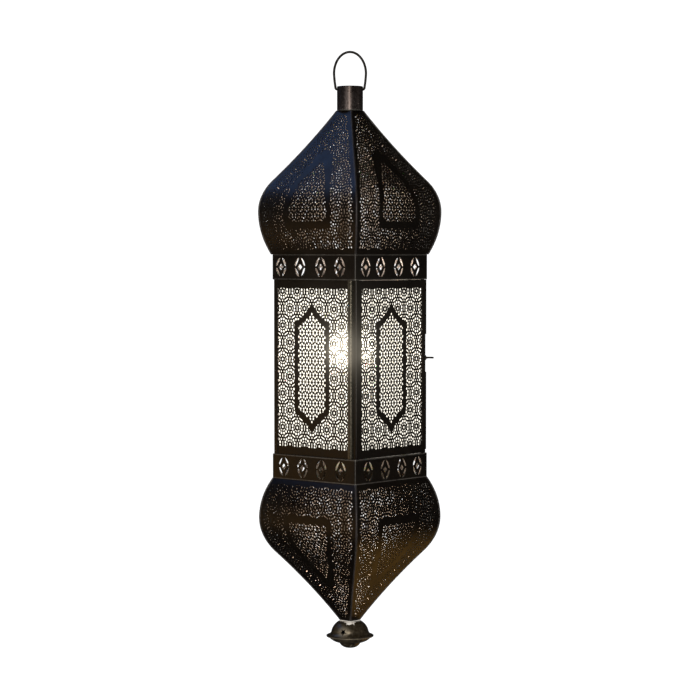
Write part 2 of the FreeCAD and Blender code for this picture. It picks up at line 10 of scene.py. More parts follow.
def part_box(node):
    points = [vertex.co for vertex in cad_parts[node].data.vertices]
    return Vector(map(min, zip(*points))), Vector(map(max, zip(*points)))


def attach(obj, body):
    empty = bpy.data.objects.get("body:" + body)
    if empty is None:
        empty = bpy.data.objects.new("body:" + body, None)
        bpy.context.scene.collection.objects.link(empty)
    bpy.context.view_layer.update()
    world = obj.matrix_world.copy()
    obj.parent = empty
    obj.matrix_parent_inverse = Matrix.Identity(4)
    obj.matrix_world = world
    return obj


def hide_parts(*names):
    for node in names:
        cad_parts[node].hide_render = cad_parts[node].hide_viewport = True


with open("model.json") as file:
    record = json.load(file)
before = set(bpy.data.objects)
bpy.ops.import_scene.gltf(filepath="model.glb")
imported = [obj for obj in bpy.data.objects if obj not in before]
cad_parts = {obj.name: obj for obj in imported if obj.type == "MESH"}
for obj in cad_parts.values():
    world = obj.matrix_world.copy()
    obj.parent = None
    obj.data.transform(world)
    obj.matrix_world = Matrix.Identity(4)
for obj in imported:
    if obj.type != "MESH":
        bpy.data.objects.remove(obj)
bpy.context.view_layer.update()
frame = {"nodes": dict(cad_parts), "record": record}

NODES = frame["nodes"]
MM = 0.001

# The flat patterns are laid out in millimetres. A side is drawn as the front one, -Y, with
# u to its right and v upwards, and is then turned about the lantern's axis.
SIDES = {"front": 0, "right": 90, "back": 180, "left": 270}
SHEET = 0.8  # thickness of the pierced sheets
SKIN_OUT = 53.2  # outer face of the pierced side sheets
FLAME = (0.0, 0.0, -0.2985)  # the middle of the flame, in metres


# ---------------------------------------------------------------- node materials
class Nodes:
    """A short way to write a material's node tree."""

    def __init__(self, name):
        self.material = bpy.data.materials.new(name)
        self.material.use_nodes = True
        self.tree = self.material.node_tree
        self.shader = self.tree.nodes["Principled BSDF"]
        self.place = self.add("ShaderNodeTexCoord").outputs["Object"]

    def add(self, kind, inputs=None, **settings):
        node = self.tree.nodes.new(kind)
        for key, value in settings.items():
            setattr(node, key, value)
        for key, value in (inputs or {}).items():
            self.put(node.inputs[key], value)
        return node

    def put(self, socket, value):
        if isinstance(value, bpy.types.NodeSocket):
            self.tree.links.new(value, socket)
        else:
            socket.default_value = value

    def noise(self, scale, detail=4.0, rough=0.55):
        inputs = {"Vector": self.place, "Scale": scale, "Detail": detail, "Roughness": rough}
        return self.add("ShaderNodeTexNoise", inputs).outputs["Fac"]

    def ramp(self, value, stops):
        node = self.add("ShaderNodeValToRGB", {"Fac": value})
        ramp = node.color_ramp
        while len(ramp.elements) < len(stops):
            ramp.elements.new(0.5)
        for element, (at, colour) in zip(ramp.elements, stops):
            element.position = at
            element.color = (*colour, 1.0)
        return node.outputs["Color"]

    def span(self, value, low, high, to_low, to_high):
        """The value, taken from low..high to to_low..to_high."""
        inputs = {"Value": value, "From Min": low, "From Max": high, "To Min": to_low, "To Max": to_high}
        return self.add("ShaderNodeMapRange", inputs).outputs["Result"]

    def mix(self, factor, first, second):
        node = self.add("ShaderNodeMix", data_type="RGBA")
        self.put(node.inputs["Factor"], factor)
        self.put(node.inputs["A"], first if not isinstance(first, tuple) else (*first, 1.0))
        self.put(node.inputs["B"], second if not isinstance(second, tuple) else (*second, 1.0))
        return node.outputs["Result"]

    def math(self, operation, first, second):
        return self.add("ShaderNodeMath", {0: first, 1: second}, operation=operation).outputs[0]

    def bump(self, height, distance):
        inputs = {"Height": height, "Distance": distance, "Strength": 1.0}
        return self.add("ShaderNodeBump", inputs).outputs["Normal"]

    def finish(self, **values):
        for key, value in values.items():
            socket = self.shader.inputs[key.replace("_", " ")]
            if isinstance(value, tuple) and len(value) == 3 and socket.type == "RGBA":
                value = (*value, 1.0)
            self.put(socket, value)
        return self.material


GRIME = (0.0012, 0.0009, 0.0006)
# Painted shade: the near-black put on the inner walls of a turned shell.
PAINTED_INNER_SHADE = (0.003, 0.003, 0.003)
STAR_POLISH = (0.0035, 0.0075)  # distances from a star's middle between which the polish fades


def aged_metal(
    name, stops, worn, roughness, metallic, bump=0.00012, wear=0.6, patch=28.0, shade_inside=False, stars=()
):
    """Metal with blotches and fine mottling, its edges rubbed to the worn colour.

    stops colour the blotches and patch is their scale. With shade_inside, the inner walls of a turned
    shell get painted shade. The metal around each of its stars is polished.
    """
    n = Nodes(name)
    blotches = n.noise(patch, 5.0, 0.62)
    fine = n.noise(420.0, 3.0, 0.6)
    grime = n.noise(9.0, 3.0, 0.5)
    colour = n.ramp(blotches, stops)
    colour = n.mix(n.span(fine, 0.4, 0.75, 0.0, 0.22), colour, worn)
    colour = n.mix(n.span(grime, 0.35, 0.65, 0.0, 0.5), colour, GRIME)
    edges = n.add("ShaderNodeNewGeometry").outputs["Pointiness"]
    rubbed = n.math("MULTIPLY", n.span(edges, 0.52, 0.60, 0.0, wear), n.span(fine, 0.35, 0.6, 0.3, 1.0))
    colour = n.mix(rubbed, colour, worn)
    for star in stars:
        apart = n.add("ShaderNodeVectorMath", {0: n.place, 1: star}, operation="DISTANCE")
        near = n.span(apart.outputs["Value"], *STAR_POLISH, 0.6, 0.0)
        polished = n.math("MULTIPLY", near, n.span(blotches, 0.3, 0.6, 0.5, 1.0))
        colour = n.mix(polished, colour, worn)
    # Painted shade: faces whose normals point towards the axis are darkened to near black.
    if shade_inside:
        outward = n.add("ShaderNodeVectorMath", {0: n.place, 1: (1.0, 1.0, 0.0)}, operation="MULTIPLY")
        inputs = {0: outward.outputs[0], 1: n.add("ShaderNodeNewGeometry").outputs["Normal"]}
        facing = n.add("ShaderNodeVectorMath", inputs, operation="DOT_PRODUCT").outputs["Value"]
        colour = n.mix(n.math("LESS_THAN", facing, 0.0), colour, PAINTED_INNER_SHADE)
    rough = n.span(blotches, 0.3, 0.7, roughness - 0.08, roughness + 0.10)
    rough = n.math("ADD", rough, n.span(fine, 0.3, 0.7, -0.04, 0.05))
    dents = n.math("ADD", n.math("MULTIPLY", n.noise(60.0, 2.0), 2.5), n.math("MULTIPLY", fine, 0.25))
    return n.finish(Base_Color=colour, Roughness=rough, Metallic=metallic, Normal=n.bump(dents, bump))


def frosted_glass():
    """Opal panes, lit from behind, with a painted glow in their emission that is brightest at the flame's
    height.
    """
    reach = 0.115  # above and below the flame, to where the painted glow is least
    n = Nodes("frosted_glass")
    apart = n.add("ShaderNodeSeparateXYZ", {0: n.place})
    # Painted glow: emission that stands in for the flame's light shining through the panes.
    height = n.math("ABSOLUTE", n.math("SUBTRACT", apart.outputs["Z"], FLAME[2]), 0.0)
    glow = n.span(height, 0.0, reach, 1.0, 0.0)
    cloudy = n.noise(24.0, 3.0)
    painted_glow_strength = n.math("ADD", n.span(glow, 0.0, 1.0, 0.77, 0.97), n.span(cloudy, 0.3, 0.7, -0.06, 0.06))
    colour = n.mix(n.span(cloudy, 0.3, 0.7, 0.0, 1.0), (0.30, 0.29, 0.25), (0.36, 0.35, 0.31))
    return n.finish(
        Base_Color=colour,
        Roughness=n.span(n.noise(180.0), 0.3, 0.7, 0.30, 0.37),
        Transmission_Weight=0.8,
        IOR=1.45,
        Emission_Color=(1.0, 0.96, 0.87),
        Emission_Strength=painted_glow_strength,
        Normal=n.bump(n.noise(900.0, 2.0), 0.00004),
    )


def candle_wax():
    """Ivory wax with a painted glow in its emission near its top, standing in for the flame's light
    through the wax.
    """
    painted_glow_foot, painted_glow_top = -0.36, -0.312
    n = Nodes("candle_wax")
    clouds = n.noise(60.0, 4.0)
    apart = n.add("ShaderNodeSeparateXYZ", {0: n.place})
    # Painted glow: the wax's emission rises towards its top, standing in for the flame's light.
    painted_glow_mask = n.span(apart.outputs["Z"], painted_glow_foot, painted_glow_top, 0.0, 1.0)
    colour = n.mix(clouds, (0.86, 0.79, 0.66), (0.93, 0.88, 0.78))
    glow = n.mix(painted_glow_mask, (0.25, 0.14, 0.05), (1.0, 0.62, 0.28))
    return n.finish(
        Base_Color=colour,
        Roughness=n.span(n.noise(140.0), 0.3, 0.7, 0.3, 0.5),
        Subsurface_Weight=0.35,
        Subsurface_Radius=(0.012, 0.008, 0.005),
        Subsurface_Scale=1.0,
        Emission_Color=glow,
        Emission_Strength=0.25,
        Normal=n.bump(n.noise(90.0, 3.0), 0.0004),
    )


def wick_cotton():
    n = Nodes("wick_cotton")
    inputs = {"Vector": n.place, "Scale": 900.0, "Distortion": 2.0}
    twist = n.add("ShaderNodeTexWave", inputs).outputs["Fac"]
    colour = n.mix(twist, (0.012, 0.010, 0.009), (0.06, 0.05, 0.045))
    return n.finish(Base_Color=colour, Roughness=0.9, Normal=n.bump(twist, 0.0002))


def flame_light():
    """The flame: blue-dark at its foot, yellow-white in its body."""
    foot, tip = -0.309, -0.285
    n = Nodes("flame_light")
    apart = n.add("ShaderNodeSeparateXYZ", {0: n.place})
    up = n.span(apart.outputs["Z"], foot, tip, 0.0, 1.0)
    stops = [
        (0.0, (0.25, 0.20, 0.5)),
        (0.25, (1.0, 0.55, 0.16)),
        (0.6, (1.0, 0.83, 0.45)),
        (1.0, (1.0, 0.62, 0.2)),
    ]
    colour = n.ramp(up, stops)
    return n.finish(
        Base_Color=colour,
        Roughness=0.6,
        Emission_Color=colour,
        Emission_Strength=n.span(up, 0.0, 0.4, 2.0, 14.0),
    )


# The middles of the bell's star cut-outs, in metres and in degrees from +X.
STAR_AZIMUTHS = (79, 199, 319)
STAR_REACH = 0.0178
STAR_Z = -0.5796
STARS = [
    (STAR_REACH * math.cos(angle), STAR_REACH * math.sin(angle), STAR_Z)
    for angle in map(math.radians, STAR_AZIMUTHS)
]
BLACK = [
    (0.30, (0.0012, 0.0005, 0.0002)),
    (0.46, (0.0042, 0.0019, 0.0006)),
    (0.58, (0.0052, 0.0030, 0.0007)),
    (0.74, (0.0095, 0.0032, 0.0010)),
]
MATERIALS = {
    "blackened_sheet": aged_metal("blackened_sheet", BLACK, (0.016, 0.010, 0.005), 0.36, 0.45, wear=0.15),
    # Painted sheen: a lighter copy of the blackened metal, on the hinge post, so that its fold shows a
    # light strip.
    "fold_painted_sheen": aged_metal(
        "fold_painted_sheen",
        [(0.3, (0.024, 0.021, 0.012)), (0.5, (0.042, 0.038, 0.024)), (0.7, (0.062, 0.054, 0.036))],
        (0.15, 0.13, 0.10), 0.30, 0.75,
    ),
    # Lighter than the blackened sheet: partly the steel's own tone, partly painted highlight, so the
    # plates' thin edges at the bands show as light lines.
    "frame_steel": aged_metal(
        "frame_steel",
        [(0.3, (0.016, 0.013, 0.010)), (0.5, (0.036, 0.031, 0.026)), (0.7, (0.065, 0.058, 0.050))],
        (0.13, 0.12, 0.105), 0.38, 0.5,
    ),
    "solder_seam": aged_metal(
        "solder_seam",
        [(0.3, (0.010, 0.009, 0.009)), (0.5, (0.024, 0.021, 0.021)), (0.7, (0.042, 0.037, 0.037))],
        (0.09, 0.08, 0.075), 0.36, 0.6, bump=0.0004,
    ),
    # Pale solder whose light colour also serves as a painted glint on the tip.
    "pale_solder_and_glint": aged_metal(
        "pale_solder_and_glint",
        [(0.3, (0.42, 0.38, 0.32)), (0.5, (0.66, 0.61, 0.54)), (0.7, (0.82, 0.78, 0.72))],
        (0.9, 0.87, 0.82), 0.4, 0.15, bump=0.0003, patch=160.0,
    ),
    "collar_metal": aged_metal(
        "collar_metal",
        [(0.3, (0.030, 0.020, 0.017)), (0.5, (0.055, 0.040, 0.036)), (0.7, (0.080, 0.062, 0.062))],
        (0.12, 0.10, 0.095), 0.30, 0.9, patch=60.0,
    ),
    "ring_wire": aged_metal("ring_wire", BLACK, (0.05, 0.042, 0.034), 0.38, 0.6, bump=0.00006),
    "latch_wire": aged_metal("latch_wire", BLACK, (0.10, 0.085, 0.07), 0.36, 0.6, bump=0.00006),
    "bright_steel": aged_metal(
        "bright_steel",
        [(0.3, (0.28, 0.27, 0.25)), (0.5, (0.42, 0.41, 0.38)), (0.7, (0.50, 0.49, 0.46))],
        (0.62, 0.60, 0.57), 0.35, 1.0,
    ),
    "dish_metal": aged_metal(
        "dish_metal",
        [(0.3, (0.05, 0.038, 0.025)), (0.5, (0.10, 0.075, 0.05)), (0.7, (0.15, 0.12, 0.08))],
        (0.24, 0.19, 0.13), 0.40, 0.8,
    ),
    "finial_metal": aged_metal(
        "finial_metal",
        [
            (0.3, (0.014, 0.008, 0.003)),
            (0.48, (0.032, 0.022, 0.010)),
            (0.62, (0.068, 0.051, 0.028)),
            (0.8, (0.13, 0.105, 0.07)),
        ],
        # The finial's inner walls get painted shade.
        (0.25, 0.21, 0.15), 0.32, 0.6, patch=45.0, shade_inside=True, stars=STARS,
    ),
    # Backs of the domes: a pale bare-metal inside, painted darker than the bands' as painted shade, where
    # the flame lights them less.
    "dome_inside_painted_shade": aged_metal(
        "dome_inside_painted_shade",
        [(0.3, (0.22, 0.18, 0.145)), (0.5, (0.42, 0.35, 0.285)), (0.7, (0.58, 0.50, 0.42))],
        (0.65, 0.57, 0.49), 0.5, 0.2, wear=0.0,
    ),
    # Backs of the bands and mid sheets: painted lighter than the domes' as painted light, where the flame
    # lights them most.
    "band_inside_painted_light": aged_metal(
        "band_inside_painted_light",
        [(0.3, (0.30, 0.24, 0.21)), (0.45, (0.55, 0.47, 0.43)), (0.6, (0.72, 0.64, 0.60))],
        (0.8, 0.74, 0.70), 0.45, 0.3, wear=0.0, patch=70.0,
    ),
    "frosted_glass": frosted_glass(),
    "candle_wax": candle_wax(),
    "wick_cotton": wick_cotton(),
}


# ---------------------------------------------------------------- cut-outs in a flat sheet
# Each cut is (x, y, reach, outline): its middle, about half its length, and its corners.
OVAL_SIDES = 8


def polar(x, y, radius, angle):
    return x + radius * math.cos(angle), y + radius * math.sin(angle)


def turned(x, y, a, b, turn):
    """The point a along and b across from x, y, where along is turned from +u."""
    return x + a * math.cos(turn) - b * math.sin(turn), y + a * math.sin(turn) + b * math.cos(turn)


def oval(x, y, along, across, turn=0.0):
    """An oval hole whose first axis is turned from +u."""
    outline = []
    for index in range(OVAL_SIDES):
        angle = 2 * math.pi * (index + 0.5) / OVAL_SIDES
        outline.append(turned(x, y, along * math.cos(angle), across * math.sin(angle), turn))
    return x, y, max(along, across), outline


def slit(x, y, length, width, turn):
    """A straight slit with round ends."""
    outline = []
    radius = width / 2
    for end in (1, -1):
        for step in (-60, 0, 60):
            angle = math.radians(step)
            a = end * (length / 2 - radius + radius * math.cos(angle))
            b = end * radius * math.sin(angle)
            outline.append(turned(x, y, a, b, turn))
    return x, y, length / 2, outline


def curved_slit(x, y, radius, width, middle, spread):
    """A slit along an arc about x, y."""
    outline = []
    for side, order in ((1, (-1.0, -0.5, 0.0, 0.5, 1.0)), (-1, (1.0, 0.5, 0.0, -0.5, -1.0))):
        for part in order:
            outline.append(polar(x, y, radius + side * width / 2, middle + part * spread))
    return *polar(x, y, radius, middle), width, outline


MEDALLION = 19.6  # from one medallion to the next
ROW = MEDALLION * math.sqrt(3) / 2
PETAL_RING = 3.6  # radius of a medallion's ring of six curved slits
PETAL_SPREAD = math.radians(24)  # half of the angle that one of them spans
OVAL_RING = 6.4  # radius of its ring of twelve ovals
LINK = 5.7  # length of the slit between two medallions
TRIO_RING = 2.15  # radius of the ring of three holes between three medallions


def medallion(x, y, size):
    """One ringed medallion with its share of what lies between it and its neighbours."""
    cuts = [oval(x, y, 1.3 * size, 1.3 * size)]
    for sixth in range(6):
        cuts.append(curved_slit(x, y, PETAL_RING, 1.1 * size, math.radians(60 * sixth), PETAL_SPREAD))
    for twelfth in range(12):
        angle = math.radians(15 + 30 * twelfth)
        cuts.append(oval(*polar(x, y, OVAL_RING, angle), 1.36 * size, 1.46 * size, angle))
    for turn in (0, 60, 120):
        angle = math.radians(turn)
        spot = polar(x, y, MEDALLION / 2, angle)
        cuts.append(slit(*spot, LINK, 1.6 * size, angle + math.pi / 2))
    for turn in (30, 90):
        centre = polar(x, y, MEDALLION / math.sqrt(3), math.radians(turn))
        for third in range(3):
            angle = math.radians(turn + 180 + 120 * third)
            cuts.append(oval(*polar(*centre, TRIO_RING, angle), 1.05 * size, 1.0 * size, angle))
    return cuts


def steps_over(low, high, first, pitch):
    """The numbers of the steps, counted from first, that cover low to high."""
    return range(math.floor((low - first) / pitch) - 1, math.ceil((high - first) / pitch) + 2)


def medallions(box, origin, size=1.0):
    """Medallions over box = (u0, u1, v0, v1), one of them at origin."""
    cuts = []
    for row in steps_over(box[2], box[3], origin[1], ROW):
        shift = origin[0] + (row % 2) * MEDALLION / 2
        for column in steps_over(box[0], box[1], shift, MEDALLION):
            cuts += medallion(shift + column * MEDALLION, origin[1] + row * ROW, size)
    return cuts


CELL = 8.6  # from one rosette to the next in its row
CELL_ROW = 7.0  # from row to row
CELL_RING = (2.7, 2.6)  # from a rosette's dot to its holes, sideways and upwards


def cells(box, origin, size=1.0):
    """Small rosettes of six holes around a dot, set as a honeycomb."""
    cuts = []
    for row in steps_over(box[2], box[3], origin[1], CELL_ROW):
        shift = origin[0] + (row % 2) * CELL / 2
        for column in steps_over(box[0], box[1], shift, CELL):
            x, y = shift + column * CELL, origin[1] + row * CELL_ROW
            for sixth in range(6):
                angle = math.radians(30 + 60 * sixth)
                spot = (x + CELL_RING[0] * math.cos(angle), y + CELL_RING[1] * math.sin(angle))
                cuts.append(oval(*spot, 1.42 * size, 1.16 * size, angle))
    return cuts


def smooth(half, steps=6):
    """A closed curve, Catmull-Rom, from the points of its right half. The ends lie at u = 0."""
    points = half + [(-u, v) for u, v in reversed(half[1:-1])]
    made = []
    count = len(points)
    for index in range(count):
        p0, p1, p2, p3 = (np.array(points[(index + k) % count], float) for k in (-1, 0, 1, 2))
        for step in range(steps):
            t = step / steps
            bend = (2 * p0 - 5 * p1 + 4 * p2 - p3) * t * t + (3 * p1 - p0 - 3 * p2 + p3) * t**3
            made.append(0.5 * (2 * p1 + (p2 - p0) * t + bend))
    return np.array(made)


def inside_by(loop, x, y):
    """How far x, y lies inside the closed loop. Negative outside."""
    ends = np.roll(loop, -1, axis=0)
    step = ends - loop
    point = np.array((x, y))
    along = np.clip(((point - loop) * step).sum(1) / np.maximum((step * step).sum(1), 1e-12), 0, 1)
    near = np.hypot(*(loop + step * along[:, None] - point).T).min()
    crosses = (loop[:, 1] > y) != (ends[:, 1] > y)
    at = loop[crosses, 0] + (y - loop[crosses, 1]) / step[crosses, 1] * step[crosses, 0]
    return near if (at > x).sum() % 2 else -near


def twice_area(loop):
    """Positive when the loop runs anticlockwise."""
    return sum(a[0] * b[1] - b[0] * a[1] for a, b in zip(loop, list(loop[1:]) + [loop[0]]))


def trimmed(outline, room):
    """The outline pushed back to where there is room."""
    nudge = 0.02
    made = []
    for x, y in outline:
        for _ in range(2):
            short = room(x, y)
            if short < 0:
                slope = ((room(x + nudge, y) - short) / nudge, (room(x, y + nudge) - short) / nudge)
                x, y = x - short * slope[0], y - short * slope[1]
        made.append((x, y))
    return made


WHOLE_ROOM = 1.3  # times a cut's reach: with more room it stays whole
LEAST_ROOM = -0.1  # times a cut's reach: with less room it is left out
LEAST_AREA = 0.4  # of a cut's area: it is left out when less remains


def fitted(cuts, room):
    """The cuts that have room, cut off straight where they run into the plain metal."""
    kept = []
    for x, y, reach, outline in cuts:
        depth = room(x, y)
        if depth > WHOLE_ROOM * reach:
            kept.append(outline)
        elif depth > LEAST_ROOM * reach:
            made = trimmed(outline, room)
            if abs(twice_area(made)) > LEAST_AREA * abs(twice_area(outline)):
                kept.append(made)
    return kept


def cartouche_cuts(large, small, outer, inner, field):
    """Large cuts around the cartouche's plain border, small ones inside it."""
    around = fitted(large, lambda x, y: min(field(x, y), -inside_by(outer, x, y)))
    return around + fitted(small, lambda x, y: min(field(x, y), inside_by(inner, x, y)))


# ---------------------------------------------------------------- from flat layout to sheet
def pierce(outline, cuts, extra=()):
    """The points and triangles of a flat sheet inside outline and outside every cut."""
    points = []
    loops = []
    for loop in [outline] + cuts:
        loops.append(list(range(len(points), len(points) + len(loop))))
        points.extend(loop if twice_area(loop) > 0 else list(loop)[::-1])
    points.extend(extra)
    made = delaunay_2d_cdt([Vector(p) for p in points], [], loops, 1, 1e-4)
    flat, faces, parents = made[0], made[2], made[5]
    faces = [tuple(face) for face, owners in zip(faces, parents) if not any(owners)]
    used = sorted({corner for face in faces for corner in face})
    renumber = {old: new for new, old in enumerate(used)}
    flat = np.array([flat[old] for old in used])
    return flat, [tuple(renumber[corner] for corner in face) for face in faces]


def free_points(box, pitch, cuts, allowed):
    """A grid of points on the solid parts, so that a curved sheet stays round."""
    clearance = 0.5
    centres = np.array([np.mean(cut, axis=0) for cut in cuts])
    reaches = [np.hypot(*(np.array(cut) - centre).T).max() for cut, centre in zip(cuts, centres)]
    clear = np.array(reaches) + clearance
    points = []
    for row, v in enumerate(np.arange(box[2] + pitch / 2, box[3], pitch)):
        for u in np.arange(box[0] + pitch * (0.25 + 0.5 * (row % 2)), box[1], pitch):
            if allowed(u, v) and (np.hypot(centres[:, 0] - u, centres[:, 1] - v) > clear).all():
                points.append((u, v))
    return points


SHARP = math.radians(50)  # where faces meet at more than this, the edge stays sharp


def sheet_mesh(name, layout, place, degrees, inside):
    """Gives the flat layout its shape and thickness.

    place(u, v, offset) is in millimetres. inside names the material of the sheet's back.
    """
    flat, faces = layout
    count = len(flat)
    u, v = flat[:, 0], flat[:, 1]
    corners = np.vstack([place(u, v, 0.0), place(u, v, -SHEET)])
    one_way = set()
    for face in faces:
        for a, b in zip(face, face[1:] + face[:1]):
            one_way.add((a, b))
    inner = [tuple(corner + count for corner in reversed(face)) for face in faces]
    walls = [(b, a, a + count, b + count) for a, b in one_way if (b, a) not in one_way]
    walls.sort()
    mesh = bpy.data.meshes.new(name)
    mesh.from_pydata((corners * MM).tolist(), [], list(faces) + inner + walls)
    mesh.transform(Matrix.Rotation(math.radians(degrees), 4, "Z"))
    mesh.materials.append(MATERIALS["blackened_sheet"])
    mesh.materials.append(MATERIALS[inside])
    backs = np.zeros(len(mesh.polygons), dtype=np.int32)
    backs[len(faces) : 2 * len(faces)] = 1
    mesh.polygons.foreach_set("material_index", backs)
    mesh.shade_smooth()
    mesh.set_sharp_from_angle(angle=SHARP)
    return mesh


def show(mesh, body, slot, *nodes):
    """Puts a mesh in the scene as a piece of the object."""
    piece = bpy.data.objects.new(mesh.name, mesh)
    bpy.context.scene.collection.objects.link(piece)
    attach(piece, body)
    if nodes:
        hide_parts(*nodes)


# ---------------------------------------------------------------- the domes
class Dome:
    """A dome's side in three tangent arcs, measured along its length v from its base."""

    def __init__(self, belly, belly_z, base_z, end_z, base_r, shoulder_r, shoulder_deg, flare_r, up):
        turn = math.radians(shoulder_deg)
        shoulder = (belly - shoulder_r, belly_z)
        reach = shoulder_r + flare_r
        flare = (shoulder[0] + reach * math.cos(turn), belly_z + up * reach * math.sin(turn))
        base_turn = math.asin(abs(base_z - belly_z) / base_r)
        end_turn = math.pi + math.asin(up * (flare[1] - end_z) / flare_r)
        self.up = up
        # centre, radius, first angle, last angle, and 1 where the sheet bulges or -1 where it hollows
        self.arcs = [
            ((belly - base_r, belly_z), base_r, -base_turn, 0.0, 1),
            (shoulder, shoulder_r, 0.0, turn, 1),
            (flare, flare_r, math.pi + turn, end_turn, -1),
        ]
        self.lengths = [radius * abs(last - first) for _, radius, first, last, _ in self.arcs]
        self.length = sum(self.lengths)

    def at(self, v, offset=0.0):
        """Distance from the axis and height at length v, moved outwards by offset."""
        v = np.clip(np.asarray(v, float), 0.0, self.length)
        half, height = np.zeros_like(v), np.zeros_like(v)
        start = 0.0
        for (centre, radius, first, last, bulge), length in zip(self.arcs, self.lengths):
            here = (v >= start - 1e-9) & (v <= start + length + 1e-9)
            angle = first + (v - start) / length * (last - first)
            reach = radius + bulge * offset
            half = np.where(here, centre[0] + reach * np.cos(angle), half)
            height = np.where(here, centre[1] + self.up * reach * np.sin(angle), height)
            start += length
        return half, height

    def place(self, u, v, offset):
        """The point of the front side at u, v."""
        outer = self.at(v, 0.0)[0]
        half, height = self.at(v, offset)
        return np.stack([u * half / outer, -half, height], axis=1)

    def along(self, z):
        """The length v at height z."""
        samples = 600
        steps = np.linspace(0.0, self.length, samples)
        heights = self.at(steps)[1] * self.up
        return float(np.interp(z * self.up, heights, steps))


# up is 1 for the upper dome and -1 for the lower one. Lengths are in millimetres.
UPPER_DOME = Dome(
    belly=64.9, belly_z=-158.0, base_z=-200.7, end_z=-57.5,
    base_r=105.0, shoulder_r=52.0, shoulder_deg=36.6, flare_r=640.0, up=1,
)
LOWER_DOME = Dome(
    belly=64.6, belly_z=-465.0, base_z=-425.1, end_z=-569.5,
    base_r=87.0, shoulder_r=57.0, shoulder_deg=37.5, flare_r=560.0, up=-1,
)
DOME_ROWS = 44
DOME_REACH = 66.0  # half the width that the patterns are drawn over
DOME_LEAN = 0.93  # turns the distance along u into the distance from a side's slanting edge
DOME_MARGINS = (4.6, 5.0, 4.0)  # plain metal along a side's edges, at its base and at its end
DOME_RIM = 1.5  # no free points nearer to the outline
DOME_PITCH = 4.6  # of the free points
LARGE_CUTS = 0.74  # sizes of the domes' cuts, beside the mid tier's
SMALL_CUTS = 0.78
FIRST_ROW = 9.0  # from a dome's base to its first row of medallions
CELLS_BELOW = 12.0  # from the border's top to a row of rosettes


def dome_layout(dome, outer, inner):
    """The flat pattern of one side. outer and inner are halves of the plain border, as (u, z)."""
    steps = np.linspace(0.0, dome.length, DOME_ROWS)
    edge = list(zip(dome.at(steps)[0], steps))
    outline = edge + [(-half, v) for half, v in reversed(edge)]
    outer, inner = (smooth([(u, dome.along(z)) for u, z in border]) for border in (outer, inner))
    box = (-DOME_REACH, DOME_REACH, 0.0, dome.length)
    side_margin, base_margin, end_margin = DOME_MARGINS

    def field(u, v):
        from_edge = (dome.at(v)[0] - abs(u)) * DOME_LEAN
        return min(from_edge - side_margin, v - base_margin, dome.length - v - end_margin)

    def solid(u, v):
        return dome.at(v)[0] - abs(u) > DOME_RIM and DOME_RIM < v < dome.length - DOME_RIM

    large = medallions(box, (0.0, FIRST_ROW), LARGE_CUTS)
    small = cells(box, (0.0, outer[:, 1].max() - CELLS_BELOW), SMALL_CUTS)
    cuts = cartouche_cuts(large, small, outer, inner, field)
    return pierce(outline, cuts, free_points(box, DOME_PITCH, cuts, solid))


# Halves of the edges of the domes' plain borders, from the middle of the base to the apex.
UPPER_OUTER = [
    (0.0, -175.2), (15.0, -175.2), (28.0, -175.0), (30.4, -172.5), (30.5, -162.0),
    (28.2, -146.0), (22.0, -126.0), (13.5, -110.0), (5.5, -100.5), (0.0, -96.5),
]
UPPER_INNER = [
    (0.0, -168.2), (14.0, -168.2), (24.0, -168.0), (25.8, -166.0), (25.6, -157.0),
    (22.8, -146.0), (17.0, -130.5), (9.6, -118.5), (3.6, -112.0), (0.0, -109.5),
]
LOWER_OUTER = [
    (0.0, -460.2), (15.0, -460.2), (28.0, -460.4), (30.4, -462.6), (30.0, -474.0),
    (27.2, -488.0), (20.6, -504.0), (12.0, -519.0), (5.0, -529.5), (0.0, -534.5),
]
LOWER_INNER = [
    (0.0, -466.4), (14.0, -466.4), (24.0, -466.6), (25.6, -468.6), (25.0, -477.0),
    (22.0, -488.0), (15.6, -501.5), (8.6, -513.0), (3.2, -520.5), (0.0, -524.0),
]


def save_domes():
    for name, dome, outer, inner in (
        ("upper_dome", UPPER_DOME, UPPER_OUTER, UPPER_INNER),
        ("lower_dome", LOWER_DOME, LOWER_OUTER, LOWER_INNER),
    ):
        layout = dome_layout(dome, outer, inner)
        for side, degrees in SIDES.items():
            mesh = sheet_mesh(f"{name}_sheet_{side}", layout, dome.place, degrees, "dome_inside_painted_shade")
            show(mesh, "lantern", "blackened_sheet", f"{name}_{side}")


# Across a bead: where, in half widths from the arris, and how high.
BEAD = ((-1.0, 0.0), (-0.72, 0.24), (-0.36, 0.42), (0.0, 0.47), (0.36, 0.42), (0.72, 0.24), (1.0, 0.0))
BEAD_RISE = 0.48  # the most that a bead rises, inside the CAD seam
BEAD_HALF = 1.45
BEAD_EDGE = 0.12
BEAD_BLUNT = 0.22  # how far its ridge is pressed in


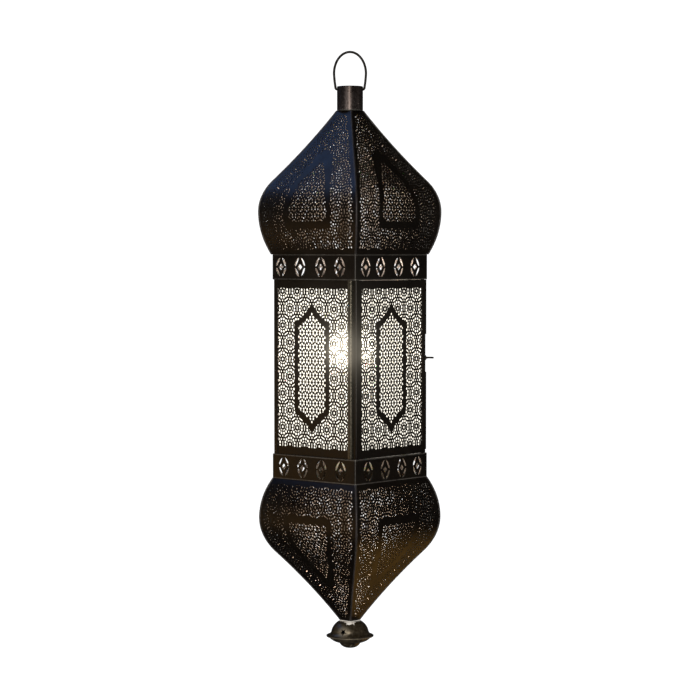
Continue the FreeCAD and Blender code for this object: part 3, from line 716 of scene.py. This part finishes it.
def solder_bead(name, dome, degrees, node):
    """The uneven bead of solder over a dome's arris, made at the front right and turned."""
    count = 90
    steps = np.linspace(0.0, dome.length, count)
    rows = []
    for v in steps:
        wander = noise.noise(Vector((v * 0.11, degrees * 0.37, dome.up)))
        swell = 1.0 + 0.35 * noise.noise(Vector((v * 0.5, 7.0 + degrees, dome.up)))
        wide = BEAD_HALF * swell + BEAD_EDGE
        outer = float(dome.at(v)[0])
        row = []
        for part, lift in BEAD:
            rise = min(BEAD_RISE, lift * swell)
            half, z = (float(value) for value in dome.at(v, rise))
            back = abs(part) * wide * (1.0 + 0.1 * wander)
            if part <= 0:
                row.append(((outer - back) * half / outer, -half, z))
            else:
                row.append((half, -(outer - back) * half / outer, z))
        ridge = len(BEAD) // 2
        x, y, z = row[ridge]
        row[ridge] = (x - BEAD_BLUNT, y + BEAD_BLUNT, z)
        rows.append(row)
    across = len(rows[0])
    corners = [tuple(value * MM for value in point) for row in rows for point in row]
    faces = []
    for i in range(count - 1):
        for j in range(across - 1):
            a = i * across + j
            face = (a, a + 1, a + across + 1, a + across)
            faces.append(face if dome.up > 0 else face[::-1])
        close = (i * across + across - 1, i * across, (i + 1) * across, (i + 1) * across + across - 1)
        faces.append(close if dome.up > 0 else close[::-1])
    ends = [tuple(reversed(range(across))), tuple((count - 1) * across + j for j in range(across))]
    faces += ends if dome.up > 0 else [end[::-1] for end in ends]
    mesh = bpy.data.meshes.new(name)
    mesh.from_pydata(corners, [], faces)
    mesh.transform(Matrix.Rotation(math.radians(degrees), 4, "Z"))
    mesh.materials.append(MATERIALS["solder_seam"])
    mesh.shade_smooth()
    show(mesh, "lantern", "solder_seam", node)


def save_beads():
    corners = {"front_right": 0, "back_right": 90, "back_left": 180, "front_left": 270}
    for name, dome in (("upper_dome", UPPER_DOME), ("lower_dome", LOWER_DOME)):
        for corner, degrees in corners.items():
            solder_bead(f"{name}_bead_{corner}", dome, degrees, f"{name}_seam_{corner}")


# ---------------------------------------------------------------- the mid tier's sheets
FIELD_HALF = 46.4  # half the width of the pierced field
FIELD_TOP = -234.2
FIELD_BOTTOM = -392.3
MIDDLE = (FIELD_TOP + FIELD_BOTTOM) / 2
TOP_ROW = -237.4  # height of the first row of medallions
CARTOUCHE_SHIFT = -0.9  # from the field's middle
CELL_LIFT = 0.2
# Right upper quarters of the edges of the tall cartouche's plain border, from its middle.
TALL_OUTER = [
    (22.8, 0.0), (22.8, 15.0), (22.8, 30.0), (22.8, 40.0), (22.2, 44.4),
    (17.6, 47.6), (12.0, 51.4), (6.4, 56.6), (2.4, 61.4), (0.0, 64.4),
]
TALL_INNER = [
    (18.4, 0.0), (18.4, 15.0), (18.4, 30.0), (18.3, 37.6), (16.8, 41.4),
    (12.6, 44.4), (8.2, 47.6), (4.2, 51.2), (1.6, 54.2), (0.0, 55.8),
]


def side_layout(left, right, bottom, top, centre):
    """The pattern of a mid-tier sheet whose pierced field is centred at u = centre."""
    shift = centre + CARTOUCHE_SHIFT
    outer, inner = (
        smooth([(u, -v) for u, v in reversed(edge[1:])] + edge, 5) + np.array((shift, MIDDLE))
        for edge in (TALL_OUTER, TALL_INNER)
    )
    box = (left, right, bottom, top)

    def field(u, v):
        return min(FIELD_HALF - abs(u - centre), v - FIELD_BOTTOM, FIELD_TOP - v)

    large = medallions(box, (shift, TOP_ROW - 4 * ROW))
    small = cells(box, (shift, MIDDLE + CELL_LIFT))
    cuts = cartouche_cuts(large, small, outer, inner, field)
    outline = [(left, bottom), (right, bottom), (right, top), (left, top)]
    return pierce(outline, cuts)


def flat_place(u, v, offset):
    """The point of the flat front side at u, v."""
    return np.stack([u, np.full_like(u, -(SKIN_OUT + offset)), v], axis=1)


# Side, node, body, and u of the middle of the pierced field.
SIDE_SHEETS = (
    ("front", "door_sheet", "door", 2.5),
    ("left", "side_sheet_left", "lantern", -3.2),
    ("right", "side_sheet_right", "lantern", 0.0),
    ("back", "side_sheet_back", "lantern", 0.0),
)


def save_side_sheets():
    """The three fixed sheets and the door's, each as large as its CAD node."""
    for side, node, body, centre in SIDE_SHEETS:
        turned_back = Matrix.Rotation(-math.radians(SIDES[side]), 4, "Z")
        ends = [turned_back @ Vector(corner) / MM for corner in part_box(node)]
        low = [min(a, b) for a, b in zip(*ends)]
        high = [max(a, b) for a, b in zip(*ends)]
        layout = side_layout(low[0], high[0], low[2], high[2], centre)
        mesh = sheet_mesh(f"pierced_{node}", layout, flat_place, SIDES[side], "band_inside_painted_light")
        show(mesh, body, "blackened_sheet", node)


# ---------------------------------------------------------------- the bands
BAND_HALF = 55.5
BAND_CORNER = 2.0  # outer radius of the bend
BAND_FLAT = BAND_HALF - BAND_CORNER
BAND_ROWS = 16
EYE_HALF = 7.1  # half an eye's width
EYE_HEIGHT = 10.3  # half its height
# Where the four eyes of each side stand. They are listed one by one, so the spacing wanders.
EYES = {
    "upper_band": {
        "front": (-40.0, -17.6, 10.0, 35.4),
        "right": (-37.6, -13.0, 12.0, 38.2),
        "back": (-38.4, -12.2, 13.1, 37.0),
        "left": (-43.0, -17.7, 9.6, 34.6),
    },
    "lower_band": {
        "front": (-36.2, -10.4, 15.2, 39.6),
        "right": (-38.8, -13.6, 12.4, 37.4),
        "back": (-37.0, -12.6, 12.2, 38.6),
        "left": (-39.6, -14.6, 10.4, 35.6),
    },
}


def eye(x, y):
    """An eye of four crescent petals around a diamond."""
    radius = (EYE_HALF**2 + EYE_HEIGHT**2) / (2 * EYE_HALF)
    heights = np.linspace(0.85, 9.7, 8)
    outer = [(math.sqrt(radius**2 - h * h) - (radius - EYE_HALF), h) for h in heights]
    inner = [(0.75, 9.75), (1.35, 8.2), (2.1, 6.4), (3.0, 4.5), (4.1, 2.5), (5.0, 1.05)]
    petal = outer + inner
    cuts = []
    for across in (1, -1):
        for up in (1, -1):
            cuts.append([(x + across * u, y + up * v) for u, v in petal])
    cuts.append([(x + 3.2, y), (x, y + 3.45), (x - 3.2, y), (x, y - 3.45)])
    return cuts


def band_place(u, v, offset):
    """The point of the front side at u, v, bent round the corner at either end."""
    turn = np.clip((np.abs(u) - BAND_FLAT) / BAND_CORNER, 0.0, None)
    reach = BAND_CORNER + offset
    x = np.where(turn > 0, np.sign(u) * (BAND_FLAT + reach * np.sin(turn)), u)
    return np.stack([x, -(BAND_FLAT + reach * np.cos(turn)), v], axis=1)


def save_band(node):
    """A band as four sides that meet in the middle of the bent corners."""
    low, high = (corner[2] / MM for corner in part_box(node))
    end = BAND_FLAT + BAND_CORNER * math.pi / 4
    columns = [BAND_FLAT + (end - BAND_FLAT) * part for part in (0.0, 0.25, 0.5, 0.75, 1.0)]
    across = [-u for u in reversed(columns)] + columns
    upright = list(np.linspace(low, high, BAND_ROWS))[1:-1]
    outline = [(u, low) for u in across] + [(end, v) for v in upright]
    outline += [(u, high) for u in reversed(across)] + [(-end, v) for v in reversed(upright)]
    extra = [(side * u, v) for side in (1, -1) for u in columns[:-1] for v in upright]
    for side, degrees in SIDES.items():
        cuts = []
        for x in EYES[node][side]:
            cuts += eye(x, (low + high) / 2)
        layout = pierce(outline, cuts, extra)
        mesh = sheet_mesh(f"{node}_{side}", layout, band_place, degrees, "band_inside_painted_light")
        show(mesh, "lantern", "blackened_sheet", node)


# ---------------------------------------------------------------- the candle's flame
def turned_mesh(name, profile):
    """A closed turned shape from (radius, z) points, first and last on the axis."""
    around = 32
    corners = [(0.0, 0.0, profile[0][1])]
    faces = []
    for radius, z in profile[1:-1]:
        for index in range(around):
            angle = 2 * math.pi * index / around
            corners.append((radius * math.cos(angle), radius * math.sin(angle), z))
    corners.append((0.0, 0.0, profile[-1][1]))
    last = len(corners) - 1
    rings = len(profile) - 2
    for index in range(around):
        after = (index + 1) % around
        faces.append((0, 1 + after, 1 + index))
        top = 1 + (rings - 1) * around
        faces.append((last, top + index, top + after))
        for ring in range(rings - 1):
            a, b = 1 + ring * around, 1 + (ring + 1) * around
            faces.append((a + index, a + after, b + after, b + index))
    mesh = bpy.data.meshes.new(name)
    mesh.from_pydata([tuple(value * MM for value in corner) for corner in corners], [], faces)
    mesh.shade_smooth()
    return mesh


# The flame's outline: radius, and height above its foot.
FLAME_SHAPE = (
    (0.0, 0.0), (1.9, 0.8), (3.0, 2.6), (3.7, 5.4), (3.8, 8.2),
    (3.3, 11.6), (2.5, 15.0), (1.5, 18.6), (0.7, 21.4), (0.0, 23.6),
)
WICK_IN_FLAME = 5.0


def save_flame():
    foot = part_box("candle_wick")[1][2] / MM - WICK_IN_FLAME
    mesh = turned_mesh("candle_flame", [(radius, foot + rise) for radius, rise in FLAME_SHAPE])
    mesh.materials.append(flame_light())
    show(mesh, "candle", "wick_cotton")


# ---------------------------------------------------------------- solder at the tip and on the bell, with a painted glint
# The patch's rows from the tip plate outwards: radius and z. It thins out over its edges.
PATCH_ROWS = ((9.6, -570.5), (11.0, -570.5), (12.2, -571.5), (13.6, -572.7), (14.6, -573.5))
RAGGED_ROWS = (2, 3)
PATCH_COLUMNS = 17
# Toward the camera, where the pale solder also stands as a painted glint.
PATCH_AZIMUTH = 221.0
PATCH_REACH = 36.0  # degrees to either side, in the first row
PATCH_TAPER = 2.8  # degrees less in each row after it
PATCH_DEPTH = 0.6


def save_tip_patch():
    """A run of bright solder from the tip plate down the bell, at the front left, facing the camera: its
    pale colour is also a painted glint.
    """
    columns = PATCH_COLUMNS
    end_row = len(PATCH_ROWS) - 1
    top, under = [], []
    for row, (radius, z) in enumerate(PATCH_ROWS):
        for column in range(columns):
            part = column / (columns - 1) * 2 - 1
            wander = noise.noise(Vector((row * 0.9, 4.0 * (part > 0), 2.0)))
            reach = PATCH_REACH - PATCH_TAPER * row + 5.0 * wander
            angle = math.radians(PATCH_AZIMUTH + part * reach)
            ragged = 0.9 * noise.noise(Vector((part * 4.0, row * 0.6, 5.0)))
            swell = 0.5 * (1 - part * part) * (1 - (row / end_row) ** 2)
            r = radius + (ragged if row in RAGGED_ROWS else 0.0)
            top.append((*polar(0.0, 0.0, r + swell * 0.6, angle), z + 0.04 + swell))
            under.append((*polar(0.0, 0.0, r - PATCH_DEPTH, angle), z - 0.5))
    corners = [tuple(value * MM for value in corner) for corner in top + under]
    count = len(top)
    faces = []
    for row in range(end_row):
        for column in range(columns - 1):
            a = row * columns + column
            faces.append((a, a + columns, a + columns + 1, a + 1))
            faces.append((a + count, a + count + 1, a + count + columns + 1, a + count + columns))
    last = end_row * columns
    for column in range(columns - 1):
        faces.append((column, column + 1, column + 1 + count, column + count))
        faces.append((last + column + 1, last + column, last + column + count, last + column + 1 + count))
    for row in range(end_row):
        a, b = row * columns, (row + 1) * columns
        faces.append((b, a, a + count, b + count))
        faces.append((a + columns - 1, b + columns - 1, b + columns - 1 + count, a + columns - 1 + count))
    mesh = bpy.data.meshes.new("tip_solder_and_glint")
    mesh.from_pydata(corners, [], faces)
    mesh.materials.append(MATERIALS["pale_solder_and_glint"])
    mesh.shade_smooth()
    show(mesh, "lantern", "solder_seam")


BRIM_RADIUS = 22.4  # of the ring of solder
BRIM_Z = -586.1
BRIM_THICK = 0.55  # half of its thickness


def save_brim_solder():
    """The uneven line of solder that joins the bell's brim to the saucer under it."""
    around, sides = 72, 8
    corners, faces = [], []
    for index in range(around):
        angle = 2 * math.pi * index / around
        uneven = noise.noise(Vector((3 * math.cos(angle), 3 * math.sin(angle), 9.0)))
        thick = BRIM_THICK + 0.12 * uneven
        for side in range(sides):
            turn = 2 * math.pi * side / sides
            radius, z = polar(BRIM_RADIUS, BRIM_Z, thick, turn)
            corners.append((radius * math.cos(angle) * MM, radius * math.sin(angle) * MM, z * MM))
            here, ahead = index * sides, (index + 1) % around * sides
            above = (side + 1) % sides
            faces.append((here + side, ahead + side, ahead + above, here + above))
    mesh = bpy.data.meshes.new("brim_solder")
    mesh.from_pydata(corners, [], faces)
    mesh.materials.append(MATERIALS["solder_seam"])
    mesh.shade_smooth()
    show(mesh, "lantern", "solder_seam")


# ---------------------------------------------------------------- CAD nodes that stay
# Nodes that look other than their slot's name says.
OWN_LOOKS = {
    # The tip plate's pale solder also paints a glint.
    "tip_plate": "pale_solder_and_glint",
    # The hinge post's lighter look is a painted sheen on its fold.
    "post_hinge": "fold_painted_sheen",
    "finial_bolt": "latch_wire",
    "finial_nut": "latch_wire",
}
SOFT_SLOTS = ("frosted_glass", "candle_wax", "wick_cotton")
ROUND_NODES = ("hanging_ring", "finial_cap", "finial_cup", "drip_dish", "neck_collar")
WELD = 0.00001
EDGE_WIDTH = 0.00022


def dress_nodes():
    """Gives each CAD node its material, and rounds the edges of the folded and cut ones."""
    for subpart in frame["record"]["subparts"]:
        name, slot = subpart["node"], subpart["material_slot"]
        node = NODES[name]
        node.data.materials.clear()
        node.data.materials.append(MATERIALS[OWN_LOOKS.get(name, slot)])
        weld = node.modifiers.new("weld", "WELD")
        weld.merge_threshold = WELD
        if slot in SOFT_SLOTS or name in ROUND_NODES:
            continue
        bevel = node.modifiers.new("edges", "BEVEL")
        bevel.width = EDGE_WIDTH
        bevel.segments = 2
        bevel.limit_method = "ANGLE"
        bevel.angle_limit = math.radians(40)
        bevel.harden_normals = False


# ---------------------------------------------------------------- stage, light and camera
FLOOR_Z = -0.86
FLOOR_RADIUS = 6.0
FLOOR_SIDES = 48


def add_stage():
    mesh = bpy.data.meshes.new("floor")
    angles = [side * math.pi / (FLOOR_SIDES / 2) for side in range(FLOOR_SIDES)]
    corners = [(*polar(0.0, 0.0, FLOOR_RADIUS, angle), FLOOR_Z) for angle in angles]
    mesh.from_pydata(corners, [], [tuple(range(FLOOR_SIDES))])
    floor = bpy.data.objects.new("floor", mesh)
    bpy.context.scene.collection.objects.link(floor)
    n = Nodes("floor")
    mesh.materials.append(n.finish(Base_Color=(1.0, 1.0, 1.0), Roughness=0.9, Specular_IOR_Level=0.0))
    floor.visible_glossy = False


# Name, power, colour, place, what it shines at, and width and height.
STUDIO_LIGHTS = (
    ("sky", 6.5, (0.26, 0.46, 1.0), (-0.55, 1.25, 1.05), (0, 0, -0.2), (1.3, 1.0)),
    ("olive", 1.2, (1.0, 0.55, 0.16), (-1.15, 1.05, -0.68), (0, 0, -0.3), (0.9, 0.5)),
    ("key", 5.5, (1.0, 0.97, 0.93), (-1.9, -0.3, 0.25), (0, 0, -0.3), (0.35, 1.6)),
    ("strip", 26.0, (1.0, 0.95, 0.86), (-1.62, -1.16, -0.25), (0, 0, -0.3), (0.10, 1.6)),
    ("fill", 0.5, (1.0, 0.93, 0.84), (0.9, -1.7, -0.1), (0, 0, -0.3), (0.8, 1.0)),
    ("amber", 0.35, (1.0, 0.52, 0.10), (0.40, -0.16, -0.86), (0.03, -0.04, -0.54), (0.40, 0.40)),
)
# The flame's light, and light that it throws about in the domes: name, power, colour, place, radius.
CANDLELIGHT = ("candlelight", 1.0, (1.0, 0.93, 0.84), FLAME, 0.022)
DOME_GLOWS = (
    ("upper_glow", 0.07, (1.0, 0.86, 0.74), (-0.012, 0.018, -0.175), 0.01),
    ("lower_glow", 0.18, (1.0, 0.86, 0.72), (-0.006, 0.0, -0.505), 0.01),
)


def add_light(name, energy, colour, location, size, target=None, rides=None):
    """An area light when it has a target, or else a point light that goes with a piece."""
    kind = "POINT" if target is None else "AREA"
    data = bpy.data.lights.new(name, kind)
    data.energy = energy
    data.color = colour
    if kind == "AREA":
        data.shape = "RECTANGLE"
        data.size, data.size_y = size
    else:
        data.shadow_soft_size = size
    light = bpy.data.objects.new(name, data)
    light.location = location
    light.visible_camera = False
    if target is not None:
        light.rotation_euler = (Vector(target) - Vector(location)).to_track_quat("-Z", "Y").to_euler()
    if rides is not None:
        light.parent = rides
    bpy.context.scene.collection.objects.link(light)
    return light


def add_lights():
    for name, energy, colour, location, target, size in STUDIO_LIGHTS:
        add_light(name, energy, colour, location, size, target=target)
    flame, shell = bpy.data.objects["candle_flame"], bpy.data.objects["upper_dome_sheet_left"]
    candlelight = add_light(*CANDLELIGHT, rides=flame)
    candlelight.visible_glossy = False
    for glow in DOME_GLOWS:
        add_light(*glow, rides=shell)


WORLD_STRENGTH = 1.12
MIRRORED_STRENGTH = 0.02


def add_world():
    """Soft white all round. What glossy surfaces mirror of it is nearly black."""
    world = bpy.data.worlds.new("studio")
    world.use_nodes = True
    tree = world.node_tree
    background = tree.nodes["Background"]
    background.inputs["Color"].default_value = (1.0, 1.0, 1.0, 1.0)
    path = tree.nodes.new("ShaderNodeLightPath")
    dim = tree.nodes.new("ShaderNodeMapRange")
    dim.inputs["To Min"].default_value = WORLD_STRENGTH
    dim.inputs["To Max"].default_value = MIRRORED_STRENGTH
    tree.links.new(path.outputs["Is Glossy Ray"], dim.inputs["Value"])
    tree.links.new(dim.outputs["Result"], background.inputs["Strength"])
    bpy.context.scene.world = world


BLOOM = {"Threshold": 1.5, "Strength": 3.0, "Size": 0.3}


def add_bloom():
    """The lens's bloom around the brightest light."""
    scene = bpy.context.scene
    scene.use_nodes = True
    tree = scene.node_tree
    tree.nodes.clear()
    layers = tree.nodes.new("CompositorNodeRLayers")
    glare = tree.nodes.new("CompositorNodeGlare")
    glare.glare_type = "BLOOM"
    for name, value in BLOOM.items():
        glare.inputs[name].default_value = value
    final = tree.nodes.new("CompositorNodeComposite")
    tree.links.new(layers.outputs["Image"], glare.inputs["Image"])
    tree.links.new(glare.outputs["Image"], final.inputs["Image"])


CAMERA_AZIMUTH = -49.0
CAMERA_DISTANCE = 2.25
CAMERA_Z = -0.195
CAMERA_TARGET_Z = -0.2968
VIEW_HEIGHT = 0.7035  # height of the view at the lantern's axis
SENSOR = 36.0


def add_camera():
    turn = math.radians(CAMERA_AZIMUTH)
    data = bpy.data.cameras.new("camera")
    camera = bpy.data.objects.new("camera", data)
    camera.location = (CAMERA_DISTANCE * math.sin(turn), -CAMERA_DISTANCE * math.cos(turn), CAMERA_Z)
    aim = Vector((0.0, 0.0, CAMERA_TARGET_Z)) - camera.location
    camera.rotation_euler = aim.to_track_quat("-Z", "Y").to_euler()
    data.sensor_width = SENSOR
    data.lens = SENSOR * aim.length / VIEW_HEIGHT
    data.clip_end = 30.0
    bpy.context.scene.collection.objects.link(camera)
    bpy.context.scene.camera = camera


add_camera()
add_world()
add_stage()
dress_nodes()
save_domes()
save_beads()
save_side_sheets()
save_band("upper_band")
save_band("lower_band")
save_flame()
save_tip_patch()
save_brim_solder()
add_lights()
add_bloom()
bpy.context.scene.view_settings.view_transform = "Standard"
